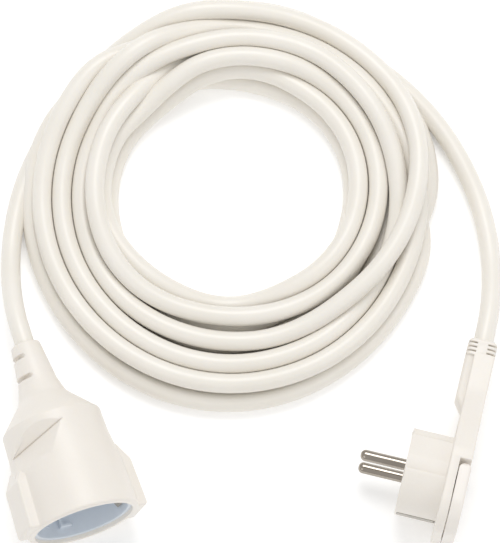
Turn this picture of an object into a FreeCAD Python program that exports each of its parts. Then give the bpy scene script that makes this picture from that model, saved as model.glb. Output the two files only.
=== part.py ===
import FreeCAD, Part
import math
import os

# An extension lead: a coupling, a loose round coil of cable and a flat angled plug.
#
# Millimetres, +Z up, everything stands on z = 0.  The origin is the middle of the footprint of
# the coupling and the plug.  +X runs from the coupling to the plug, +Y from them to the coil.
#
# The coupling and the plug are modelled in frames of their own and then laid down:
#   coupling  x along its axis from the cable end to the mouth, y across the wings
#   plug      x from the back plate to the pin tips, y from the free end to the cable, z across

# ---- cable
CABLE_D = 8.5
CABLE_R = CABLE_D / 2
CORE_R = 1.25
SHEATH_INSIDE = 12.0            # how far the sheath runs into each moulding

# ---- pins and contacts, by the round-pin socket standard
PIN_R = 2.4
PIN_SHANK_R = 2.9
PIN_OUT = 19.0
PIN_TIP = 2.1
CONTACT_Z = 9.5                 # half of the distance between the two pins

# ---- coupling
COUPLING_LENGTH = 82.0
NECK_R = 6.3
NECK_END_X = 18.0
NECK_END_R = 8.5
CONE_START_X = 25.0
CONE_START_R = 10.6
SHOULDER_X = 37.0
BARREL_R = 21.2
BARREL_END_X = 47.0
MOUTH_R = 24.2
MOUTH_START_X = 60.0
MOUTH_START_R = 23.5
WING_START_X = 53.0
WING_HALF = 27.2
WING_THICK = 16.4
RECESS_R = 19.6
RECESS_DEPTH = 17.5
INSERT_R = 21.2
INSERT_BACK_X = 60.5
INSERT_LIP = 1.6                # how far the insert's rim sits behind the mouth
CARRIER_R = 13.6
CARRIER_BACK_X = 43.5
SLEEVE_R = 3.3
CONTACT_HOLE_R = 2.7
NECK_SLOTS_X = (6.0, 15.5)
GRIP_ANGLES = (139.0, 319.0)     # from the first wing, turning towards +Z
CLIP_HALF_WIDTH = 3.0
STRIP = 0.8                     # thickness of every spring strip

# ---- plug
PLUG_BODY_R = 18.5
PLUG_FACE_X = 27.1
PLUG_PINS_Y = 25.0
PLATE_X0 = 0.7
PLATE_X1 = 9.6
FLANGE_X0 = 5.7
FLANGE_R = 20.5
PLATE_BLOCK_Y = 80.0
PLUG_LENGTH = 87.5
BLOCK_HALF = 7.0
BLOCK_X1 = 13.1
CABLE_X = 6.9
CARRIER_PLUG_R = 15.2
CARRIER_PLUG_X = 12.0
CORE_ROOM_X = 7.2               # back of the room behind the carrier
CRIMP_X = 9.2
EARTH_HOLE_Y = 35.0
EARTH_HOLE_R = 2.5

# ---- folding pull handle on the plug's back
HANDLE_X0 = 0.2
HANDLE_X1 = 5.3
HINGE_X = 2.75
HINGE_Y = 26.3
HINGE_PIN_R = 1.2
HINGE_CLEAR = 0.05
KNUCKLE_HALF = 5.0
FINGER_R = 9.4
FINGER_Y = 11.6

# ---- coil
COIL_OUTER_R = 89.5
COIL_INNER_R = 48.5
COIL_HEIGHT = 25.0
COIL_EDGE_R = 9.0

# ---- where things lie
COUPLING_AT = (-95.7, 41.4, 20.2)
COUPLING_YAW_PITCH_ROLL = (-71.2, -3.2, -24.0)
PLUG_AT = (84.2, -43.7, 22.4)
PLUG_YAW = -13.8
PLUG_DIP = 3.5
COIL_OUTER_AT = (-8.3, 110.1)
COIL_INNER_AT = (-8.8, 112.0)

# The route of the cable outside the coil, chosen by hand.  Both lists start inside a moulding
# and end inside the coil.
COUPLING_ROUTE = [
    (-91.8, 30.0, 20.9),
    (-97.0, 45.2, 20.0),
    (-100.3, 55.8, 17.9),
    (-102.7, 68.0, 13.3),
    (-103.7, 80.8, 8.8),
    (-103.4, 94.5, 5.7),
    (-101.0, 110.8, 4.4),
    (-95.9, 126.8, 4.3),
    (-88.0, 142.3, 4.3),
    (-78.0, 156.3, 4.5),
]
PLUG_ROUTE = [
    (95.5, 31.1, 17.8),
    (99.3, 46.6, 16.8),
    (101.9, 58.3, 14.9),
    (103.4, 71.8, 10.8),
    (103.4, 85.3, 6.9),
    (101.8, 99.0, 4.9),
    (98.1, 113.3, 4.3),
    (91.9, 128.3, 4.3),
    (83.3, 143.3, 4.3),
    (72.0, 157.3, 4.4),
    (58.0, 169.8, 4.6),
    (42.5, 179.3, 4.9),
]


def vec(x, y, z=0.0):
    return FreeCAD.Vector(x, y, z)


def block(x0, x1, y0, y1, z0, z1):
    return Part.makeBox(x1 - x0, y1 - y0, z1 - z0, vec(x0, y0, z0))


def rod_x(radius, x0, x1, y=0.0, z=0.0):
    return Part.makeCylinder(radius, x1 - x0, vec(x0, y, z), vec(1, 0, 0))


def rod_z(radius, z0, z1, x=0.0, y=0.0):
    return Part.makeCylinder(radius, z1 - z0, vec(x, y, z0), vec(0, 0, 1))


def corner_arc(before, corner, after, radius):
    """The start, middle and end of the arc that rounds a corner."""
    to_before = (before - corner).normalize()
    to_after = (after - corner).normalize()
    half_opening = to_before.getAngle(to_after) / 2
    reach = radius / math.tan(half_opening)
    bisector = (to_before + to_after).normalize()
    centre = corner + bisector * (radius / math.sin(half_opening))
    return corner + to_before * reach, centre - bisector * radius, corner + to_after * reach


def line_edge(start, end):
    return Part.LineSegment(start, end).toShape()


def outline(corners):
    """A flat face in the XY plane from corners (x, y, rounding)."""
    count = len(corners)
    edges = []
    ends = []
    for i, (x, y, rounding) in enumerate(corners):
        here = vec(x, y)
        if rounding == 0:
            ends.append((here, here))
            continue
        before = vec(*corners[i - 1][:2])
        after = vec(*corners[(i + 1) % count][:2])
        start, middle, end = corner_arc(before, here, after, rounding)
        edges.append(Part.Arc(start, middle, end).toShape())
        ends.append((start, end))
    for i in range(count):
        start = ends[i][1]
        end = ends[(i + 1) % count][0]
        if start.distanceToPoint(end) > 1e-6:
            edges.append(line_edge(start, end))
    return Part.Face(Part.Wire(Part.sortEdges(edges)[0]))


def turned(corners):
    """A solid turned about the X axis from corners (x, radius, rounding)."""
    return outline(corners).revolve(vec(0, 0), vec(1, 0), 360)


def plate_z(corners, z0, z1):
    face = outline(corners)
    face.translate(vec(0, 0, z0))
    return face.extrude(vec(0, 0, z1 - z0))


def plate_x(corners, x0, x1):
    """A plate across the X axis from corners (y, z, rounding)."""
    face = outline(corners)
    face.rotate(vec(0, 0), vec(1, 1, 1), 120)
    face.translate(vec(x0, 0))
    return face.extrude(vec(x1 - x0, 0))


def rim_edges(solid, x):
    """The edges that lie wholly in the plane at x."""
    flat = []
    for edge in solid.Edges:
        box = edge.BoundBox
        if abs(box.XMin - x) < 1e-4 and abs(box.XMax - x) < 1e-4:
            flat.append(edge)
    return flat


def largest(shape):
    return max(shape.Solids, key=lambda solid: solid.Volume)


def tube(points, radius, name=""):
    """A round tube along straight runs joined by arcs as large as the runs allow."""
    corners = [vec(*point) for point in points]
    edges = []
    radii = []
    at = corners[0]
    for before, corner, after in zip(corners, corners[1:], corners[2:]):
        shorter = min(before.distanceToPoint(corner), corner.distanceToPoint(after))
        turn = (corner - before).getAngle(after - corner)
        arc_radius = 0.45 * shorter / math.tan(turn / 2)
        start, middle, end = corner_arc(before, corner, after, arc_radius)
        edges.append(line_edge(at, start))
        edges.append(Part.Arc(start, middle, end).toShape())
        radii.append(arc_radius)
        at = end
    edges.append(line_edge(at, corners[-1]))
    path = Part.Wire(edges)
    first = Part.Circle(corners[0], corners[1] - corners[0], radius).toShape()
    solid = path.makePipeShell([Part.Wire(first)], True, False)
    if name:
        section = math.pi * radius ** 2 * path.Length
        print("%s: length %.1f, smallest arc radius %.1f, volume / (section x length) %.4f"
              % (name, path.Length, min(radii), solid.Volume / section))
    return largest(solid)


def strip_z(points, half_width, thickness):
    """A bent strip: a line of (x, y) points, as wide as 2 x half_width along Z."""
    pieces = []
    for (x0, y0), (x1, y1) in zip(points, points[1:]):
        length = math.hypot(x1 - x0, y1 - y0)
        flat = block(0, length, -thickness / 2, thickness / 2, -half_width, half_width)
        flat = flat.fuse(rod_z(thickness / 2, -half_width, half_width))
        flat = flat.fuse(rod_z(thickness / 2, -half_width, half_width, length))
        flat.rotate(vec(0, 0), vec(0, 0, 1), math.degrees(math.atan2(y1 - y0, x1 - x0)))
        flat.translate(vec(x0, y0))
        pieces.append(flat)
    return pieces[0].fuse(pieces[1:]).removeSplitter()


# ---------------------------------------------------------------- coupling

def coupling_shell():
    """The outer shape: a neck, a cone, a sharp shoulder, a barrel and a wider mouth."""
    profile = [
        (0, 0, 0),
        (0, NECK_R, 0.9),
        (NECK_END_X, NECK_END_R, 0),
        (CONE_START_X, CONE_START_R, 9.0),
        (SHOULDER_X, BARREL_R + 0.2, 0.7),
        (BARREL_END_X, BARREL_R + 0.5, 25.0),
        (MOUTH_START_X, MOUTH_START_R, 25.0),
        (COUPLING_LENGTH, MOUTH_R, 1.3),
        (COUPLING_LENGTH, 0, 0),
    ]
    return turned(profile)


def coupling_wings():
    half = WING_HALF
    wing_outline = [
        (WING_START_X, 0, 0),
        (WING_START_X, half - 5.2, 0),
        (WING_START_X + 7.5, half - 0.9, 2.5),
        (COUPLING_LENGTH - 0.4, half, 1.5),
        (COUPLING_LENGTH - 0.4, 0, 0),
    ]
    wing = plate_z(wing_outline, -WING_THICK / 2, WING_THICK / 2)
    long_edges = [e for e in wing.Edges if e.BoundBox.YMin > half - 6 and e.BoundBox.ZLength < 1e-4]
    wing = wing.makeFillet(1.0, long_edges)
    other = wing.mirror(vec(0, 0), vec(0, 1))
    return wing, other


def grip_notches():
    """Shallow notches with a slanting crease, one on each flank of the barrel."""
    crease_x = 45.5
    crease_r = 17.4
    notch = plate_z([
        (crease_x, crease_r, 0),
        (crease_x - 6.0, crease_r + 5.2, 0),
        (crease_x + 4.0, crease_r + 9.0, 0),
        (crease_x + 10.0, crease_r + 4.4, 0),
    ], -16, 16)
    notch = notch.fuse(block(crease_x - 0.3, crease_x + 0.3, crease_r - 0.7, crease_r + 1, -16, 16))
    notch.rotate(vec(crease_x, 0), vec(0, 1), 15)
    notches = []
    for angle in GRIP_ANGLES:
        copy = notch.copy()
        copy.rotate(vec(0, 0), vec(1, 0), angle)
        notches.append(copy)
    return notches


def neck_slots():
    """Short cross slots, right through on one side and half through on the other."""
    cuts = []
    for x in NECK_SLOTS_X:
        for side in (-1, 1):
            inner = side * 5.0
            outer = side * 12.0
            top = 12 if side < 0 else -2.0
            cuts.append(block(x - 1, x + 1, min(inner, outer), max(inner, outer), -12, top))
            cuts.append(rod_z(1.0, -12, top, x, inner))
    return cuts


def coupling_housing():
    shell = coupling_shell().fuse(list(coupling_wings()))
    cuts = grip_notches() + neck_slots()
    cuts.append(rod_x(CABLE_R, -1, SHEATH_INSIDE))
    cuts.append(rod_x(CABLE_R - 0.4, SHEATH_INSIDE, CONE_START_X - 3))
    cuts.append(Part.makeCone(CABLE_R - 0.4, CARRIER_R, CARRIER_BACK_X - CONE_START_X + 3,
                              vec(CONE_START_X - 3, 0), vec(1, 0)))
    cuts.append(rod_x(CARRIER_R, CARRIER_BACK_X, INSERT_BACK_X))
    cuts.append(rod_x(INSERT_R, INSERT_BACK_X, COUPLING_LENGTH + 1))
    cuts.append(block(INSERT_BACK_X - 1.6, INSERT_BACK_X + 1, -18.6, 18.6, -3.4, 3.4))
    return largest(shell.cut(cuts))


def guide_ribs(x0, x1):
    """Two ribs that keep a plug the right way round, each hollowed out to an L."""
    height = RECESS_R - 2.2
    rib = block(x0, x1, -2.6, 2.6, height, RECESS_R + 1.0)
    rib = rib.makeFillet(0.5, [e for e in rib.Edges if abs(e.BoundBox.ZMax - height) < 1e-4])
    rib = rib.cut(block(x0 - 1, x1 - 1.3, -3.0, 1.3, height - 1, RECESS_R - 0.3))
    other = rib.copy()
    other.rotate(vec(0, 0), vec(1, 0), 180)
    return [rib, other]


def low_loops(x0, x1):
    """A low U-shaped ridge beside each rib."""
    height = RECESS_R * math.cos(math.radians(29)) - 0.9
    top = RECESS_R * math.cos(math.radians(22)) + 0.6
    loop = block(x0, x1, 7.4, 11.8, height, top)
    loop = loop.makeFillet(1.2, [e for e in loop.Edges if e.BoundBox.XMin > x1 - 0.1
                                 and e.BoundBox.ZLength > 1])
    loop = loop.cut(block(x0 - 1, x1 - 1.3, 8.7, 10.5, height - 1, top + 1))
    loop = loop.common(rod_x(RECESS_R + 0.8, x0 - 1, x1 + 1)).cut(rod_x(RECESS_R - 0.9, x0 - 1, x1 + 1))
    other = loop.copy()
    other.rotate(vec(0, 0), vec(1, 0), 180)
    return [loop, other]


def coupling_insert():
    """The liner of the recess, with its guide ribs and low ridges."""
    floor_x = COUPLING_LENGTH - RECESS_DEPTH
    rim_x = COUPLING_LENGTH - INSERT_LIP
    liner = turned([
        (INSERT_BACK_X, RECESS_R, 0),
        (INSERT_BACK_X, INSERT_R, 0),
        (rim_x, INSERT_R, 0),
        (rim_x, RECESS_R, 0.6),
    ])
    ribs = guide_ribs(floor_x, rim_x - 4) + low_loops(floor_x, rim_x - 5)
    return largest(liner.fuse(ribs))


def coupling_socket_floor():
    """The floor of the recess: a disc with two contact holes and two slots for the earth strip."""
    floor_x = COUPLING_LENGTH - RECESS_DEPTH
    disc = rod_x(RECESS_R, INSERT_BACK_X, floor_x)
    cuts = []
    for side in (-1, 1):
        cuts.append(rod_x(CONTACT_HOLE_R, INSERT_BACK_X - 1, floor_x + 1, 0, side * CONTACT_Z))
        cuts.append(block(INSERT_BACK_X - 1, floor_x + 1.5,
                          min(side * 16.2, side * 18.9), max(side * 16.2, side * 18.9), -3.4, 3.4))
    return largest(disc.cut(cuts))


def coupling_contact_carrier():
    """The hard block behind the insert that holds the two sleeves and the earth strip."""
    carrier = turned([
        (CARRIER_BACK_X, 0, 0),
        (CARRIER_BACK_X, CARRIER_R, 1.0),
        (INSERT_BACK_X, CARRIER_R, 0),
        (INSERT_BACK_X, 0, 0),
    ])
    cuts = [block(INSERT_BACK_X - 1.6, INSERT_BACK_X + 1, -20, 20, -3.4, 3.4)]
    cuts.append(rod_x(CORE_R + 0.1, CARRIER_BACK_X - 1, INSERT_BACK_X + 1))
    for side in (-1, 1):
        cuts.append(rod_x(SLEEVE_R, CARRIER_BACK_X - 1, INSERT_BACK_X + 1, 0, side * CONTACT_Z))
    return largest(carrier.cut(cuts))


def contact_sleeve(side):
    """A slotted brass sleeve that grips one pin of the plug."""
    front_x = INSERT_BACK_X - 0.2
    back_x = CARRIER_BACK_X - 1.5
    sleeve = rod_x(SLEEVE_R, back_x, front_x)
    sleeve = sleeve.cut(rod_x(PIN_R - 0.05, back_x + 3.0, front_x + 1))
    sleeve = sleeve.cut(block(back_x + 5, front_x + 1, -0.4, 0.4, -5, 5))
    sleeve.translate(vec(0, 0, side * CONTACT_Z))
    return largest(sleeve)


def coupling_earth_spring():
    """One strip: a bridge behind the insert and two bowed arms along the cup's wall."""
    bridge_x = INSERT_BACK_X - 0.7
    half_path = [
        (bridge_x, 0.0),
        (bridge_x, 17.6),
        (bridge_x + 5.5, 17.6),
        (bridge_x + 9.0, 16.6),
        (bridge_x + 13.0, 16.6),
        (bridge_x + 17.0, 18.6),
    ]
    half = strip_z(half_path, CLIP_HALF_WIDTH, STRIP)
    other = half.mirror(vec(0, 0), vec(0, 1))
    return largest(half.fuse(other).removeSplitter())


def coupling_cores():
    """The brown, blue and green-yellow cores, from the sheath's end to their contacts."""
    back_x = CARRIER_BACK_X - 4.5
    sheath_x = SHEATH_INSIDE + 0.4
    live = [(sheath_x, 0, 1.5), (21, 0.2, 2.0), (30, 0.2, 5.0), (back_x, 0, CONTACT_Z)]
    neutral = [(x, -y, -z) for x, y, z in live]
    earth = [(sheath_x, 2.3, 0), (22, 2.5, 0.2), (31, 1.4, 0.2), (back_x, 0, 0)]
    return tube(live, CORE_R), tube(neutral, CORE_R), tube(earth, CORE_R)


def crimp(x0, x1, y, z):
    """A short barrel pressed on a core's end."""
    return rod_x(CORE_R + 0.6, x0, x1, y, z)


def coupling_crimps():
    x0 = CARRIER_BACK_X - 4.5
    x1 = CARRIER_BACK_X - 1.5
    crimps = [crimp(x0, x1, 0, side * CONTACT_Z) for side in (-1, 1)]
    tail = crimp(x0, x1, 0, 0).fuse(rod_x(CORE_R, x1, INSERT_BACK_X - 0.7 - STRIP / 2))
    return Part.makeCompound(crimps + [tail])


# ---------------------------------------------------------------- plug

def plug_plate():
    """The long flat back of the plug, widest at the pins and narrow at the cable."""
    corners = [
        (0.0, -12.0, 9.0),
        (8.0, -FLANGE_R, 12.0),
        (34.0, -FLANGE_R, 14.0),
        (64.0, -BLOCK_HALF - 1.0, 20.0),
        (PLATE_BLOCK_Y + 1.0, -BLOCK_HALF, 0),
    ]
    mirrored = [(y, -z, rounding) for y, z, rounding in reversed(corners)]
    plate = plate_x(corners + mirrored, PLATE_X0, PLATE_X1)
    return plate.makeFillet(0.7, rim_edges(plate, PLATE_X0) + rim_edges(plate, PLATE_X1))


def strain_relief_block():
    half = BLOCK_HALF
    corners = [
        (PLATE_BLOCK_Y, -half, 0),
        (PLUG_LENGTH, -half, 1.2),
        (PLUG_LENGTH, half, 1.2),
        (PLATE_BLOCK_Y, half, 0),
    ]
    body = plate_x(corners, PLATE_X0, BLOCK_X1)
    long_edges = [e for e in body.Edges if e.BoundBox.YLength > 5 and e.BoundBox.XLength < 0.1]
    body = body.makeFillet(2.2, long_edges)
    cuts = []
    for k in range(3):
        y = PLATE_BLOCK_Y + 1.6 + 1.9 * k
        for x0, x1 in ((PLATE_X0 - 1, PLATE_X0 + 4.0), (BLOCK_X1 - 4.0, BLOCK_X1 + 1)):
            cuts.append(block(x0, x1, y - 0.35, y + 0.35, -half - 1, half + 1))
    return body.cut(cuts)


def cable_bump():
    """The raised back of the cable's path, on the pin side of the plate."""
    profile = plate_z([
        (PLATE_X1 - 1.0, 55.5, 0),
        (PLATE_X1, 55.5, 0),
        (BLOCK_X1, 60.5, 2.5),
        (BLOCK_X1, PLATE_BLOCK_Y + 0.5, 0),
        (PLATE_X1 - 1.0, PLATE_BLOCK_Y + 0.5, 0),
    ], -5.6, 5.6)
    edges = [e for e in profile.Edges if e.BoundBox.XMin > PLATE_X1 + 0.2 and e.BoundBox.ZLength < 0.1]
    return profile.makeFillet(1.6, edges)


def plug_body():
    """The round body, with a guide groove on both sides: one sharp wall, one that fades out."""
    body = turned([
        (FLANGE_X0 + 1.0, 0, 0),
        (FLANGE_X0 + 1.0, PLUG_BODY_R, 0),
        (PLUG_FACE_X, PLUG_BODY_R, 0.7),
        (PLUG_FACE_X, 0, 0),
    ])
    cuts = []
    for side in (-1, 1):
        groove = [(-3.3, 16.3, 0), (-3.3, 22, 0), (13, 22, 0), (13, 13.1, 0), (3.3, 16.1, 3.0)]
        groove = [(y, side * z, rounding) for y, z, rounding in groove]
        cuts.append(plate_x(groove, PLATE_X1, PLUG_FACE_X + 1))
        cuts.append(block(PLATE_X1, PLUG_FACE_X + 1, -3.3, -2.9, min(side * 15.6, side * 17),
                          max(side * 15.6, side * 17)))
    body = body.cut(cuts)
    body.translate(vec(0, PLUG_PINS_Y))
    return body


def handle_room():
    """The step in the back that the folded handle lies in, with a notch above it."""
    low = block(PLATE_X0 - 2, FLANGE_X0, -5, HINGE_Y + 4.2, -30, 30)
    knuckle = block(PLATE_X0 - 3, FLANGE_X0 + 1, HINGE_Y - 2.6, HINGE_Y + 2.6,
                    -KNUCKLE_HALF, KNUCKLE_HALF)
    return low.cut(knuckle)


def plug_chambers():
    """Room inside for the carrier, the cores, the cable and the earth strap."""
    y_pins = PLUG_PINS_Y
    cuts = [rod_x(CARRIER_PLUG_R, CORE_ROOM_X, PLUG_FACE_X + 1, y_pins)]
    cuts.append(block(CORE_ROOM_X - 0.6, 10.9, 36.5, 40.4, -8.5, 8.5))
    cuts.append(block(5.3, PLATE_X1 - 0.7, 40.0, 46.0, -7.0, 7.0))
    cuts.append(block(4.4, 8.6, 44.0, 66.0, -5.5, 5.5))
    sheath_y = PLUG_LENGTH - SHEATH_INSIDE
    cuts.append(Part.makeCylinder(CABLE_R, SHEATH_INSIDE + 1, vec(CABLE_X, sheath_y), vec(0, 1)))
    cuts.append(block(4.4, 10.6, 62.5, sheath_y, -4.7, 4.7))
    arm = PLUG_BODY_R + 0.1
    cuts.append(block(9.9, PLUG_FACE_X - 1.0, y_pins + arm - 1.0, y_pins + arm + 1, -1.7, 1.7))
    cuts.append(block(9.9, PLUG_FACE_X - 1.0, y_pins - arm - 1, y_pins - arm + 1.0, -1.7, 1.7))
    cuts.append(block(9.9, 11.1, y_pins - arm, y_pins + arm, -1.7, 1.7))
    cuts.append(rod_z(HINGE_PIN_R, -30, 30, HINGE_X, HINGE_Y))
    return cuts


def plug_housing():
    body = plug_plate().fuse([strain_relief_block(), cable_bump(), plug_body()])
    return largest(body.cut([handle_room()] + plug_chambers()))


def plug_pin_carrier():
    """The hard disc that holds both pins and the earth sleeve."""
    carrier = turned([
        (CARRIER_PLUG_X, 0, 0),
        (CARRIER_PLUG_X, CARRIER_PLUG_R, 0.5),
        (PLUG_FACE_X, CARRIER_PLUG_R, 0.4),
        (PLUG_FACE_X, 0, 0),
    ])
    carrier.translate(vec(0, PLUG_PINS_Y))
    cuts = [rod_x(EARTH_HOLE_R + 0.6, 0, 40, EARTH_HOLE_Y)]
    for side in (-1, 1):
        cuts.append(rod_x(PIN_SHANK_R, 0, 40, PLUG_PINS_Y, side * CONTACT_Z))
    return largest(carrier.cut(cuts))


def contact_pin(side):
    """A round pin with a rounded tip and a thicker shank held in the carrier."""
    pin = turned([
        (CARRIER_PLUG_X - 1.0, 0, 0),
        (CARRIER_PLUG_X - 1.0, PIN_SHANK_R, 0),
        (PLUG_FACE_X, PIN_SHANK_R, 0),
        (PLUG_FACE_X, PIN_R, 0),
        (PLUG_FACE_X + PIN_OUT, PIN_R, PIN_TIP),
        (PLUG_FACE_X + PIN_OUT, 0, 0),
    ])
    pin.translate(vec(0, PLUG_PINS_Y, side * CONTACT_Z))
    return pin


def plug_earth_strap():
    """A strip across the back of the carrier that shows on both sides of the body."""
    arm = PLUG_BODY_R - 0.35
    path = [
        (PLUG_FACE_X - 1.5, PLUG_PINS_Y - arm),
        (10.5, PLUG_PINS_Y - arm),
        (10.5, PLUG_PINS_Y + arm),
        (PLUG_FACE_X - 1.5, PLUG_PINS_Y + arm),
    ]
    return largest(strip_z(path, 1.6, STRIP))


def plug_earth_sleeve():
    """The sleeve for the earth pin of sockets that have one."""
    sleeve = rod_x(EARTH_HOLE_R + 0.6, 11.0, PLUG_FACE_X - 0.6, EARTH_HOLE_Y)
    return sleeve.cut(rod_x(EARTH_HOLE_R, 12.0, PLUG_FACE_X, EARTH_HOLE_Y))


def plug_cores():
    sheath_y = PLUG_LENGTH - SHEATH_INSIDE
    live = [
        (CABLE_X, sheath_y - 0.4, 1.5),
        (6.6, 65.0, 3.0),
        (6.5, 54.0, 3.3),
        (6.9, 46.0, 4.3),
        (8.9, 38.0, 6.7),
        (CRIMP_X, 30.0, CONTACT_Z),
    ]
    neutral = [(x, y, -z) for x, y, z in live]
    earth = [
        (CABLE_X + 2.2, sheath_y - 0.4, 0),
        (6.9, 65.0, 0.1),
        (6.4, 54.0, 0),
        (6.9, 46.0, -0.1),
        (8.7, 37.5, 0),
    ]
    return tube(live, CORE_R), tube(neutral, CORE_R), tube(earth, CORE_R)


def plug_crimps():
    """The pressed barrels at the rear of the pins and on the earth strap."""
    crimps = []
    for side in (-1, 1):
        at = vec(CRIMP_X, PLUG_PINS_Y - 0.5, side * CONTACT_Z)
        crimps.append(Part.makeCylinder(CORE_R + 0.5, 5.0, at, vec(0, 1)))
    crimps.append(Part.makeCylinder(CORE_R + 0.1, 5.0, vec(8.7, 32.5), vec(0, 1)))
    return Part.makeCompound(crimps)


def pull_handle():
    """A flat ring for a finger, hinged across the plug's back at its straight end."""
    half = FLANGE_R - 0.2
    top_y = HINGE_Y + HINGE_X - HANDLE_X0
    corners = [
        (0.0, -12.0, 9.0),
        (8.0, -half, 12.0),
        (top_y, -half, 1.5),
        (top_y, half, 1.5),
        (8.0, half, 12.0),
        (0.0, 12.0, 9.0),
    ]
    ring = plate_x(corners, HANDLE_X0, HANDLE_X1)
    finger = rod_x(FINGER_R, -5, 10, FINGER_Y)
    ring = ring.cut(finger)
    ring = ring.makeFillet(1.0, rim_edges(ring, HANDLE_X0))
    barrel_r = HINGE_X - HANDLE_X0
    above = block(-5, 10, HINGE_Y, HINGE_Y + 10, -30, 30)
    barrel = rod_z(barrel_r, -half, half, HINGE_X, HINGE_Y)
    top = ring.common(above).common(barrel)
    ring = ring.cut(above).fuse(top)
    cuts = [rod_z(HINGE_PIN_R + HINGE_CLEAR, -17, 17, HINGE_X, HINGE_Y)]
    cuts.append(block(-5, 10, HINGE_Y - 3.9, HINGE_Y + 10, -KNUCKLE_HALF - 0.3, KNUCKLE_HALF + 0.3))
    return largest(ring.cut(cuts))


def handle_hinge_pin():
    return rod_z(HINGE_PIN_R, -16.5, 16.5, HINGE_X, HINGE_Y)


# ---------------------------------------------------------------- cable and places

def coupling_place():
    return FreeCAD.Placement(vec(*COUPLING_AT), FreeCAD.Rotation(*COUPLING_YAW_PITCH_ROLL))


def plug_place():
    yaw = FreeCAD.Rotation(vec(0, 0, 1), PLUG_YAW)
    dip = FreeCAD.Rotation(vec(1, 0, 0), -PLUG_DIP)
    pins_left = FreeCAD.Rotation(vec(0, 1, 0), 180)
    return FreeCAD.Placement(vec(*PLUG_AT), yaw.multiply(dip).multiply(pins_left))


def cable_coil():
    """The outer shape of the whole coil, a ring that is a little wider at the front."""
    outer = rod_z(COIL_OUTER_R, 0, COIL_HEIGHT, *COIL_OUTER_AT)
    ring = outer.cut(rod_z(COIL_INNER_R, -1, COIL_HEIGHT + 1, *COIL_INNER_AT))
    rims = [e for e in ring.Edges if e.BoundBox.ZLength < 1e-4]
    return largest(ring.makeFillet(COIL_EDGE_R, rims))


def build_nodes():
    coupling_live, coupling_neutral, coupling_earth = coupling_cores()
    plug_live, plug_neutral, plug_earth = plug_cores()
    coupling = {
        "coupling_housing": coupling_housing(),
        "coupling_insert": coupling_insert(),
        "coupling_socket_floor": coupling_socket_floor(),
        "coupling_contact_carrier": coupling_contact_carrier(),
        "coupling_live_sleeve": contact_sleeve(1),
        "coupling_neutral_sleeve": contact_sleeve(-1),
        "coupling_earth_spring": coupling_earth_spring(),
        "coupling_brown_core": coupling_live,
        "coupling_blue_core": coupling_neutral,
        "coupling_earth_core": coupling_earth,
        "coupling_crimps": coupling_crimps(),
    }
    plug = {
        "plug_housing": plug_housing(),
        "plug_pin_carrier": plug_pin_carrier(),
        "plug_live_pin": contact_pin(1),
        "plug_neutral_pin": contact_pin(-1),
        "plug_earth_strap": plug_earth_strap(),
        "plug_earth_sleeve": plug_earth_sleeve(),
        "plug_brown_core": plug_live,
        "plug_blue_core": plug_neutral,
        "plug_earth_core": plug_earth,
        "plug_crimps": plug_crimps(),
        "pull_handle": pull_handle(),
        "handle_hinge_pin": handle_hinge_pin(),
    }
    nodes = {}
    for group, place in ((coupling, coupling_place()), (plug, plug_place())):
        for name, shape in group.items():
            shape.Placement = place.multiply(shape.Placement)
            nodes[name] = shape
    nodes["cord_coupling_side"] = tube(COUPLING_ROUTE, CABLE_R, "cord_coupling_side")
    nodes["cord_plug_side"] = tube(PLUG_ROUTE, CABLE_R, "cord_plug_side")
    nodes["cord_coil"] = cable_coil()
    return nodes


def main():
    os.makedirs("parts", exist_ok=True)
    box = FreeCAD.BoundBox()
    for name, shape in build_nodes().items():
        shape.exportStep("parts/%s.step" % name)
        here = shape.BoundBox
        print("%-26s solids %d valid %s volume %9.1f  x %7.2f %7.2f y %7.2f %7.2f z %6.2f %6.2f"
              % (name, len(shape.Solids), shape.isValid(), shape.Volume,
                 here.XMin, here.XMax, here.YMin, here.YMax, here.ZMin, here.ZMax))
        if not name.startswith("cord"):
            box.add(here)
    sheath_end = coupling_place().multVec(vec(SHEATH_INSIDE, 0, 0))
    leaves = coupling_place().multVec(vec(-4, 0, 0))
    print("coupling cable axis: %s %s" % (tuple(sheath_end), tuple(leaves)))
    sheath_end = plug_place().multVec(vec(CABLE_X, PLUG_LENGTH - SHEATH_INSIDE, 0))
    leaves = plug_place().multVec(vec(CABLE_X, PLUG_LENGTH + 4, 0))
    print("plug cable axis: %s %s" % (tuple(sheath_end), tuple(leaves)))
    print("coupling and plug: x %.3f %.3f y %.3f %.3f z %.3f %.3f"
          % (box.XMin, box.XMax, box.YMin, box.YMax, box.ZMin, box.ZMax))


main()
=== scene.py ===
# %% [markdown]
# # A mains extension lead on a studio table
#
# The lead has a moulded coupling at one end, five metres of round cable in a loose coil, and a
# flat angled plug with a fold-out pull handle at the other end.  The engineering model brings
# the hard parts.  This notebook lays the cable, and gives every surface its finish.

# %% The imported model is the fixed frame
import math

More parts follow.
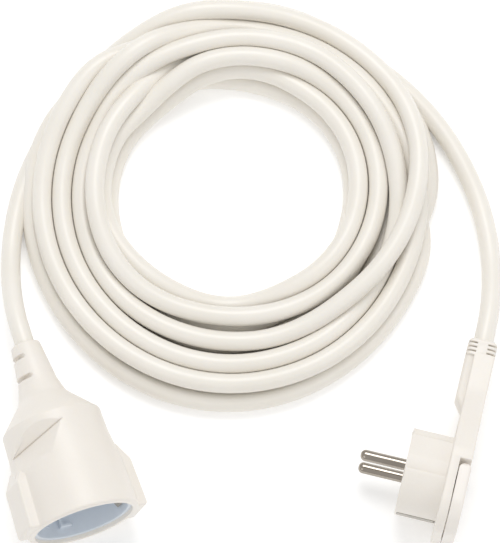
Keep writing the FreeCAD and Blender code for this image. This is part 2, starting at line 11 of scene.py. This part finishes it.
import bmesh
import bpy
import numpy as np
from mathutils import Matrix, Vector


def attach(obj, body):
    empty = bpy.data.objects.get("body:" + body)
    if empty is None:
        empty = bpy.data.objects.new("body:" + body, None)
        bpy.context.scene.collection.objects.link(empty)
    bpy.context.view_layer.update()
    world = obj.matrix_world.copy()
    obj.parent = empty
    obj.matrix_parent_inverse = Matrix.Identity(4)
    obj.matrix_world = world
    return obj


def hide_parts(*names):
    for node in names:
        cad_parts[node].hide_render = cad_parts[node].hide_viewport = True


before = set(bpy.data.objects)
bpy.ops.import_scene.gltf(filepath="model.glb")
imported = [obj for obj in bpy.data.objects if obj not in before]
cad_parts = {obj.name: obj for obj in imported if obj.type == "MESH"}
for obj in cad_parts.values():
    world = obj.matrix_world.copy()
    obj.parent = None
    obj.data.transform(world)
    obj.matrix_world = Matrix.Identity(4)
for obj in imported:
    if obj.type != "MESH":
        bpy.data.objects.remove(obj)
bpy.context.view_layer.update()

# %% [markdown]
# ## The camera
#
# A product picture of a lead is usually taken from almost straight above, so that the coil
# reads as a ring.  The camera here looks down at 74 degrees from the front.  A long lens, a
# bit more than a metre away, keeps the ring round.  The sensor's 36 mm lie along the picture's
# longer side.

# %% Camera
LOOK_AT = Vector((-0.0005, 0.0798, 0.0))
ELEVATION = math.radians(74.0)
DISTANCE = 1.3
SENSOR = 36.0                   # millimetres
LENS = 198.9                    # millimetres


def make_camera():
    data = bpy.data.cameras.new("camera")
    data.sensor_fit = "AUTO"
    data.sensor_width = SENSOR
    data.lens = LENS
    camera = bpy.data.objects.new("camera", data)
    bpy.context.scene.collection.objects.link(camera)
    back = Vector((0.0, -math.cos(ELEVATION), math.sin(ELEVATION)))
    camera.location = LOOK_AT + back * DISTANCE
    camera.rotation_euler = (math.pi / 2 - ELEVATION, 0.0, 0.0)
    bpy.context.scene.camera = camera
    return camera


camera = make_camera()
print("lens", round(camera.data.lens, 1), "mm")

# %% [markdown]
# ## The cable
#
# The cable is one real length of round flexible lead, 8.5 mm thick.  Outside the coil it
# follows two short routes: out of the coupling's neck and down to the table,
# and off the table up to the plug.

# %% Routes outside the coil
CABLE_D = 0.0085
COUPLING_ROUTE = [
    (-0.0918, 0.0300, 0.0209),
    (-0.0970, 0.0452, 0.0200),
    (-0.1003, 0.0558, 0.0179),
    (-0.1027, 0.0680, 0.0133),
    (-0.1037, 0.0808, 0.0088),
    (-0.1034, 0.0945, 0.0057),
    (-0.1010, 0.1108, 0.0044),
    (-0.0959, 0.1268, 0.0043),
    (-0.0880, 0.1423, 0.0043),
    (-0.0780, 0.1563, 0.0045),
]
PLUG_ROUTE = [
    (0.0955, 0.0311, 0.0178),
    (0.0993, 0.0466, 0.0168),
    (0.1019, 0.0583, 0.0149),
    (0.1034, 0.0718, 0.0108),
    (0.1034, 0.0853, 0.0069),
    (0.1018, 0.0990, 0.0049),
    (0.0981, 0.1133, 0.0043),
    (0.0919, 0.1283, 0.0043),
    (0.0833, 0.1433, 0.0043),
    (0.0720, 0.1573, 0.0044),
    (0.0580, 0.1698, 0.0046),
    (0.0425, 0.1793, 0.0049),
]

# %% [markdown]
# ## How the turns lie
#
# Nobody winds a lead perfectly.  Each row below is one turn, followed clockwise from twelve
# o'clock: its distance from the coil's middle at six points of the clock, in millimetres, and
# how high it lies.  The first rows were laid last and lie on top.  One of them crosses from
# the outside to the inside, as the last turn of a quick coil does.

# %% Turns of the coil
COIL_CENTRE = Vector((-0.0082, 0.1105, 0.0))
TURNS = [
    ((82, 85, 72, 65, 66, 66), 22),     # crosses from the outside to the inside
    ((69, 73, 74, 76, 74, 74), 19),
    ((78, 78, 79, 83, 81, 81), 13),
    ((81, 80, 79, 86, 82, 80), 9),
    ((80, 82, 77, 82, 78, 79), 4.5),    # four turns flat on the table
    ((73, 74, 70, 74, 71, 72), 4.5),
    ((66, 65, 61, 65, 64, 65), 4.5),
    ((59, 57, 52, 55, 57, 58), 5),
    ((60, 57, 52, 53, 56, 58), 12),     # and up again on the inside
    ((61, 65, 60, 54, 57, 60), 20),
    ((66, 69, 70, 72, 74, 77), 11),     # out beneath the others, towards the plug
]
POINTS_OF_CLOCK = 6
STEPS = 72                          # points worked out for each turn while it settles
KEEP_EVERY = 3                      # every third of them becomes a control point
LEAD_IN_RADII = [88.0, 84.0]        # before the first row
EXIT_RADII = [82.0, 89.0, 93.0]     # after the last row
ON_TABLE = 4.5                      # height of a turn that lies on the table
FIRST_STATION = 240                 # clock angle of the first radius
FIRST_ANGLE, LAST_ANGLE = 315, 11 * 360 + 20


def smooth_through(values, at):
    """A curve that passes through evenly spaced values."""
    k = np.clip(np.floor(at).astype(int), 1, len(values) - 3)
    t = at - k
    p0, p1, p2, p3 = (values[k + i] for i in (-1, 0, 1, 2))
    bend = 2 * p0 - 5 * p1 + 4 * p2 - p3
    twist = 3 * (p1 - p2) + p3 - p0
    return p1 + 0.5 * t * (p2 - p0 + t * (bend + t * twist))


def planned_turns():
    """Angle, radius and height of every point before the coil settles, in millimetres."""
    radii = list(LEAD_IN_RADII)
    heights = [ON_TABLE] * len(LEAD_IN_RADII)
    for row, height in TURNS:
        radii += row
        heights += [height] * POINTS_OF_CLOCK
    radii += EXIT_RADII
    heights += [ON_TABLE] * len(EXIT_RADII)
    angles = np.arange(FIRST_ANGLE, LAST_ANGLE + 1, 360 / STEPS)
    at = (angles - FIRST_STATION) / (360 / POINTS_OF_CLOCK)
    return angles, smooth_through(np.array(radii), at), smooth_through(np.array(heights), at)


angles, plan_r, plan_z = planned_turns()
print(len(angles), "points in", round((LAST_ANGLE - FIRST_ANGLE) / 360, 2), "turns")

# %% [markdown]
# ## Letting the coil settle
#
# Two turns can't share one place.  In every slice through the ring the turns are discs one
# diameter across.  They sink, push each other apart, rest on the table and on each other, and
# stay close to where they were laid.  The cable's stiffness is an average along its length.
# Both ends are held where the routes take over.

# %% Settling
D = CABLE_D * 1000
ROUNDS = 420
STILL_ROUNDS = 60                # the last rounds, without sinking
SINK = 0.18                      # millimetres a round
PULL = 0.04                      # towards the planned radius
STIFFNESS = 0.22                 # towards the mean of both neighbours
HELD_POINTS = 6
GAP = D * 1.005


def push_apart(r, z, gap):
    """Moves every pair of discs in a slice apart until they are one gap away."""
    for shift in range(STEPS, len(r), STEPS):
        dr = r[shift:] - r[:-shift]
        dz = z[shift:] - z[:-shift]
        dist = np.sqrt(dr * dr + dz * dz) + 1e-6
        push = 0.5 * np.clip(gap - dist, 0, None) / dist
        r[shift:] += dr * push
        z[shift:] += dz * push
        r[:-shift] -= dr * push
        z[:-shift] -= dz * push


def settle(start_r, start_z):
    r, z = start_r.copy(), start_z.copy()
    ends = np.minimum(np.arange(len(r)), np.arange(len(r))[::-1])
    hold = np.clip(1 - ends / HELD_POINTS, 0, 1)
    for k in range(ROUNDS):
        z -= 0.0 if k > ROUNDS - STILL_ROUNDS else SINK
        r += PULL * (start_r - r)
        for _ in range(3):
            push_apart(r, z, GAP)
        for line in (r, z):
            line[1:-1] += STIFFNESS * (0.5 * (line[:-2] + line[2:]) - line[1:-1])
        z[:] = np.maximum(z, D / 2)
        r += hold * (start_r - r)
        z += hold * (start_z - z)
    return r, z


coil_r, coil_z = settle(plan_r, plan_z)
print("settled coil: radii", round(coil_r.min(), 1), round(coil_r.max(), 1),
      "top", round(coil_z.max() + D / 2, 1), "mm")

# %% [markdown]
# ## One spline for the whole cable
#
# The routes and the turns are control points of one NURBS curve of order three.  Such a curve
# bends evenly, as a stiff cable does.  It cuts a little inside its control points, so the
# coil's points stand out by that much.  A point's radius multiplies the bevel depth, and
# Blender also adds it to the curve's box, so each radius is the cable's own and the depth is 1.

# %% The cable's spline


def coil_points():
    step = math.radians(360 / STEPS * KEEP_EVERY)
    stand_out = 1 / math.cos(step / 2)
    points = []
    for angle, r, z in list(zip(np.radians(angles), coil_r, coil_z))[::KEEP_EVERY]:
        reach = r * stand_out / 1000
        x, y = reach * math.sin(angle), reach * math.cos(angle)
        points.append(COIL_CENTRE + Vector((x, y, z / 1000)))
    return points


def make_cable():
    points = [Vector(p) for p in COUPLING_ROUTE] + coil_points()
    points += [Vector(p) for p in reversed(PLUG_ROUTE)]
    curve = bpy.data.curves.new("cable", "CURVE")
    curve.dimensions = "3D"
    spline = curve.splines.new("NURBS")
    spline.points.add(len(points) - 1)
    for control, point in zip(spline.points, points):
        control.co = (*point, 1.0)
        control.radius = CABLE_D / 2
    spline.order_u = 3
    spline.use_endpoint_u = True
    curve.resolution_u = 5
    curve.bevel_depth = 1.0
    curve.bevel_resolution = 5
    curve.use_fill_caps = True
    cable = bpy.data.objects.new("cable", curve)
    bpy.context.scene.collection.objects.link(cable)
    return cable


cable = make_cable()
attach(cable, "root")
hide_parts("cord_coupling_side", "cord_coil", "cord_plug_side")
print("cable control points", len(cable.data.splines[0].points))

# %% [markdown]
# ## A short way to write shader maths
#
# A shader is a sum: a colour here, a bit more roughness there.  The class below wraps a
# socket, so that a Python expression on sockets adds the Math nodes for it.

# %% Socket class and material helper


class Value:
    """A socket that can be used in Python arithmetic."""

    def __init__(self, tree, socket):
        self.tree = tree
        self.socket = socket

    def math(self, operation, *inputs):
        node = self.tree.nodes.new("ShaderNodeMath")
        node.operation = operation
        for slot, value in zip(node.inputs, inputs):
            plug_in(self.tree, slot, value)
        return Value(self.tree, node.outputs[0])

    def __add__(self, other):
        return self.math("ADD", self, other)

    def __radd__(self, other):
        return self.math("ADD", other, self)

    def __sub__(self, other):
        return self.math("SUBTRACT", self, other)

    def __rsub__(self, other):
        return self.math("SUBTRACT", other, self)

    def __mul__(self, other):
        return self.math("MULTIPLY", self, other)

    def __rmul__(self, other):
        return self.math("MULTIPLY", other, self)

    def __truediv__(self, other):
        return self.math("DIVIDE", self, other)

    def __pow__(self, other):
        return self.math("POWER", self, other)


def plug_in(tree, slot, value):
    if isinstance(value, Value):
        tree.links.new(value.socket, slot)
    else:
        slot.default_value = value


class Finish:
    """One material and the nodes that are added to it."""

    def __init__(self, name):
        self.material = bpy.data.materials.new(name)
        self.material.use_nodes = True
        self.tree = self.material.node_tree
        self.shader = self.tree.nodes["Principled BSDF"]
        self.place = self.node("TexCoord", out="Object")

    def node(self, kind, settings=None, out=0, **inputs):
        """Adds a node of a type, with its settings, and values or links on its sockets."""
        made = self.tree.nodes.new("ShaderNode" + kind)
        for key, value in (settings or {}).items():
            setattr(made, key, value)
        for key, value in inputs.items():
            plug_in(self.tree, made.inputs[key.replace("_", " ")], value)
        return Value(self.tree, made.outputs[out])

    def noise(self, scale, detail=2.0, roughness=0.5):
        return self.node("TexNoise", out=0, Vector=self.place, Scale=scale, Detail=detail,
                         Roughness=roughness)

    def mix(self, factor, first, second):
        made = self.tree.nodes.new("ShaderNodeMix")
        made.data_type = "RGBA"
        plug_in(self.tree, made.inputs[0], factor)
        plug_in(self.tree, made.inputs[6], first)
        plug_in(self.tree, made.inputs[7], second)
        return Value(self.tree, made.outputs[2])

    def bump(self, height, strength, distance):
        return self.node("Bump", Height=height, Strength=strength, Distance=distance)

    def set(self, **inputs):
        for key, value in inputs.items():
            plug_in(self.tree, self.shader.inputs[key.replace("_", " ")], value)
        return self.material


def rgb(red, green, blue):
    """A linear colour from the 0 to 255 values that a screen shows."""
    def linear(v):
        v /= 255
        return v / 12.92 if v <= 0.04045 else ((v + 0.055) / 1.055) ** 2.4
    return (linear(red), linear(green), linear(blue), 1.0)


# %% [markdown]
# ## Soft cream PVC
#
# The mouldings are injected soft PVC.  The tool is spark eroded, so the surface has a fine
# grain and no mirror shine.  The colour is a warm white which drifts slightly, because the
# wall is thicker in some places than in others.

# %% Cream plastics


def cream_plastic(name, light, dark, roughness, grain, subsurface):
    f = Finish(name)
    cloud = f.noise(60.0, 3.0)
    fine = f.noise(2600.0, 2.0)
    specks = f.noise(900.0, 1.0)
    colour = f.mix(cloud * 0.7 + specks * 0.3, rgb(*light), rgb(*dark))
    normal = f.bump(fine * 0.7 + specks * 0.3, grain, 0.00004)
    return f.set(Base_Color=colour, Roughness=roughness + (cloud - 0.5) * 0.16,
                 Normal=normal, IOR=1.52, Subsurface_Weight=subsurface,
                 Subsurface_Radius=(0.0016, 0.0014, 0.0010), Subsurface_Scale=1.0)


moulding = cream_plastic("cream_moulding", (240, 235, 228), (234, 228, 219), 0.42, 0.30, 0.10)
handle_finish = cream_plastic("cream_handle", (241, 236, 230), (235, 229, 221), 0.36, 0.18, 0.06)
carrier_finish = cream_plastic("carrier_plastic", (236, 234, 228), (228, 226, 218),
                               0.40, 0.20, 0.04)
insert_finish = cream_plastic("socket_insert", (222, 228, 235), (212, 220, 229), 0.30, 0.12, 0.03)

# %% [markdown]
# ## The sheath
#
# A cable's sheath is extruded.  It comes out smooth, with a soft sheen, and takes very faint
# dents where it lay against other turns on the drum.

# %% Sheath


def sheath_plastic():
    f = Finish("cream_sheath")
    cloud = f.noise(45.0, 3.0)
    dents = f.noise(260.0, 2.0)
    fine = f.noise(1900.0, 2.0)
    colour = f.mix(cloud, rgb(242, 238, 231), rgb(234, 229, 219))
    normal = f.bump(dents * 0.75 + fine * 0.25, 0.22, 0.0001)
    return f.set(Base_Color=colour, Roughness=0.34 + (dents - 0.5) * 0.14, Normal=normal,
                 IOR=1.52, Subsurface_Weight=0.08, Subsurface_Radius=(0.0016, 0.0014, 0.0010),
                 Subsurface_Scale=1.0)


sheath = sheath_plastic()

# %% [markdown]
# ## Metals
#
# The pins are turned brass with a nickel plate.  Handling leaves fine scratches and a slightly
# duller skin in places.  The strips are rolled, and the contact sleeves are bare brass.

# %% Metals


def metal(name, light, dark, roughness, scratch_scale, grain=0.15):
    f = Finish(name)
    cloud = f.noise(140.0, 4.0)
    along = f.node("Mapping", Vector=f.place, Scale=(1.0, 1.0, 11.0))
    scratches = f.node("TexNoise", Vector=along, Scale=scratch_scale, Detail=3.0)
    colour = f.mix(cloud, rgb(*light), rgb(*dark))
    rough = roughness + (cloud - 0.5) * 0.18 + (scratches - 0.5) * 0.10
    normal = f.bump(scratches, grain, 0.00003)
    return f.set(Base_Color=colour, Metallic=1.0, Roughness=rough, Normal=normal)


nickel = metal("pin_nickel", (182, 174, 164), (152, 143, 132), 0.12, 900.0, 0.05)
strip_steel = metal("strip_nickel", (196, 192, 184), (160, 155, 146), 0.30, 1200.0)
brass = metal("contact_brass", (214, 182, 110), (176, 142, 78), 0.30, 1100.0)
hinge_steel = metal("hinge_steel", (190, 190, 190), (150, 150, 150), 0.28, 1300.0)

# %% [markdown]
# ## The cores
#
# Brown, blue and green-yellow are the colours of live, neutral and earth.  They are hidden in
# the mouldings, but a part that is opened up should be right inside too.

# %% Core colours


def core_plastic(name, light, dark):
    f = Finish(name)
    cloud = f.noise(300.0, 2.0)
    return f.set(Base_Color=f.mix(cloud, rgb(*light), rgb(*dark)),
                 Roughness=0.40 + (cloud - 0.5) * 0.1, Normal=f.bump(cloud, 0.1, 0.00005))


def striped_core(name):
    f = Finish(name)
    stripes = f.node("TexWave", {"bands_direction": "X"}, out=1, Vector=f.place, Scale=160.0,
                     Distortion=0.4)
    edge = f.node("ValToRGB", Fac=stripes)
    ramp = edge.socket.node.color_ramp
    ramp.interpolation = "CONSTANT"
    ramp.elements[1].position = 0.5
    ramp.elements[0].color = rgb(60, 140, 50)
    ramp.elements[1].color = rgb(228, 205, 40)
    return f.set(Base_Color=edge, Roughness=0.4)


brown_core = core_plastic("core_brown", (110, 66, 36), (88, 50, 26))
blue_core = core_plastic("core_blue", (52, 92, 176), (38, 72, 150))
earth_core = striped_core("core_green_yellow")

# %% [markdown]
# ## A finish for each piece
#
# The pieces that stay as the engineering model made them are given their material by name.

# %% Finishes on the pieces
FINISHES = {
    "coupling_insert": insert_finish, "coupling_socket_floor": insert_finish,
    "coupling_contact_carrier": carrier_finish, "coupling_live_sleeve": brass,
    "coupling_neutral_sleeve": brass, "coupling_earth_spring": strip_steel,
    "coupling_brown_core": brown_core, "coupling_blue_core": blue_core,
    "coupling_earth_core": earth_core, "coupling_crimps": brass,
    "plug_pin_carrier": carrier_finish, "plug_live_pin": nickel, "plug_neutral_pin": nickel,
    "plug_earth_strap": strip_steel, "plug_earth_sleeve": brass,
    "plug_brown_core": brown_core, "plug_blue_core": blue_core, "plug_earth_core": earth_core,
    "plug_crimps": brass, "handle_hinge_pin": hinge_steel,
}
for node, material in FINISHES.items():
    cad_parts[node].data.materials.clear()
    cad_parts[node].data.materials.append(material)
cable.data.materials.append(sheath)
print(len(FINISHES), "pieces have their finish")

# %% [markdown]
# ## Softened mouldings
#
# No moulded edge is truly sharp: the tool is cut with a small radius, and soft PVC shrinks
# away from it.  The three pieces that a hand touches are copies of the engineering model.
# Their loose triangles are merged first, and then every edge that is still sharp gets a
# rounding of a fraction of a millimetre, which catches the light.

# %% Rounded copies of the three mouldings
MERGE = 3e-6                     # metres between points that are the same point
FLAT = math.radians(0.4)         # faces closer than this become one
SHARP = math.radians(33)         # edges over this get a rounding
SHADED_SHARP = math.radians(34)
MOULDED = 0.00018                # metres of rounding on the mouldings
HANDLED = 0.00025                # and on the ring


def softened(name, node, body, finish, rounding):
    bm = bmesh.new()
    bm.from_mesh(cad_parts[node].data)
    bmesh.ops.remove_doubles(bm, verts=bm.verts, dist=MERGE)
    bmesh.ops.dissolve_limit(bm, angle_limit=FLAT, verts=bm.verts, edges=bm.edges)
    sharp = [e for e in bm.edges if e.is_manifold and e.calc_face_angle(0) > SHARP]
    bmesh.ops.bevel(bm, geom=sharp, offset=rounding, offset_type="OFFSET", affect="EDGES",
                    segments=2, profile=0.5, material=-1, clamp_overlap=False)
    for face in bm.faces:
        face.smooth = True
    for edge in bm.edges:
        edge.smooth = not edge.is_manifold or edge.calc_face_angle(0) < SHADED_SHARP
    mesh = bpy.data.meshes.new(name)
    bm.to_mesh(mesh)
    print(name, len(sharp), "edges rounded,", len(mesh.polygons), "faces")
    bm.free()
    mesh.materials.append(finish)
    piece = bpy.data.objects.new(name, mesh)
    bpy.context.scene.collection.objects.link(piece)
    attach(piece, body)
    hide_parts(node)
    return piece


softened("coupling_moulding", "coupling_housing", "root", moulding, MOULDED)
plug_shell = softened("plug_moulding", "plug_housing", "root", moulding, MOULDED)
finger_ring = softened("finger_ring", "pull_handle", "handle", handle_finish, HANDLED)

# %% [markdown]
# ## Where the cable starts and ends
#
# The cable starts at the coupling's neck and ends in the plug.

# %% [markdown]
# ## Table and light
#
# A white table that glows faintly, and three large soft lights.  The key light stands behind
# the coil, so that each turn has a bright crest and a soft shadow towards the viewer.

# %% Table, lights and sky


def make_table():
    bm = bmesh.new()
    bmesh.ops.create_grid(bm, x_segments=1, y_segments=1, size=3.0)
    mesh = bpy.data.meshes.new("table")
    bm.to_mesh(mesh)
    bm.free()
    table = bpy.data.objects.new("table", mesh)
    bpy.context.scene.collection.objects.link(table)
    f = Finish("table_white")
    mottle = f.noise(4.0)
    table.data.materials.append(f.set(
        Base_Color=f.mix(mottle, rgb(254, 254, 254), rgb(251, 251, 251)), Roughness=0.6,
        Emission_Color=(1.0, 1.0, 1.0, 1.0), Emission_Strength=0.16))
    return table


def soft_light(name, at, size, power):
    data = bpy.data.lights.new(name, "AREA")
    data.shape = "DISK"
    data.size = size
    data.energy = power
    light = bpy.data.objects.new(name, data)
    bpy.context.scene.collection.objects.link(light)
    light.location = at
    aim = Vector(LOOK_AT) - Vector(at)
    light.rotation_euler = aim.to_track_quat("-Z", "Y").to_euler()
    return light


make_table()
soft_light("key", (0.05, 0.9, 1.5), 1.0, 10.5)
soft_light("fill", (1.1, -0.5, 1.2), 1.2, 3.0)
soft_light("front", (-0.9, -0.9, 1.0), 1.2, 2.4)
world = bpy.data.worlds.new("studio")
bpy.context.scene.world = world
world.use_nodes = True
world.node_tree.nodes["Background"].inputs["Color"].default_value = (1.0, 1.0, 1.0, 1.0)
world.node_tree.nodes["Background"].inputs["Strength"].default_value = 0.65
bpy.context.scene.view_settings.view_transform = "Standard"
print("lights set")

# %% [markdown]
# ## Bringing the scene up to date

bpy.context.view_layer.update()
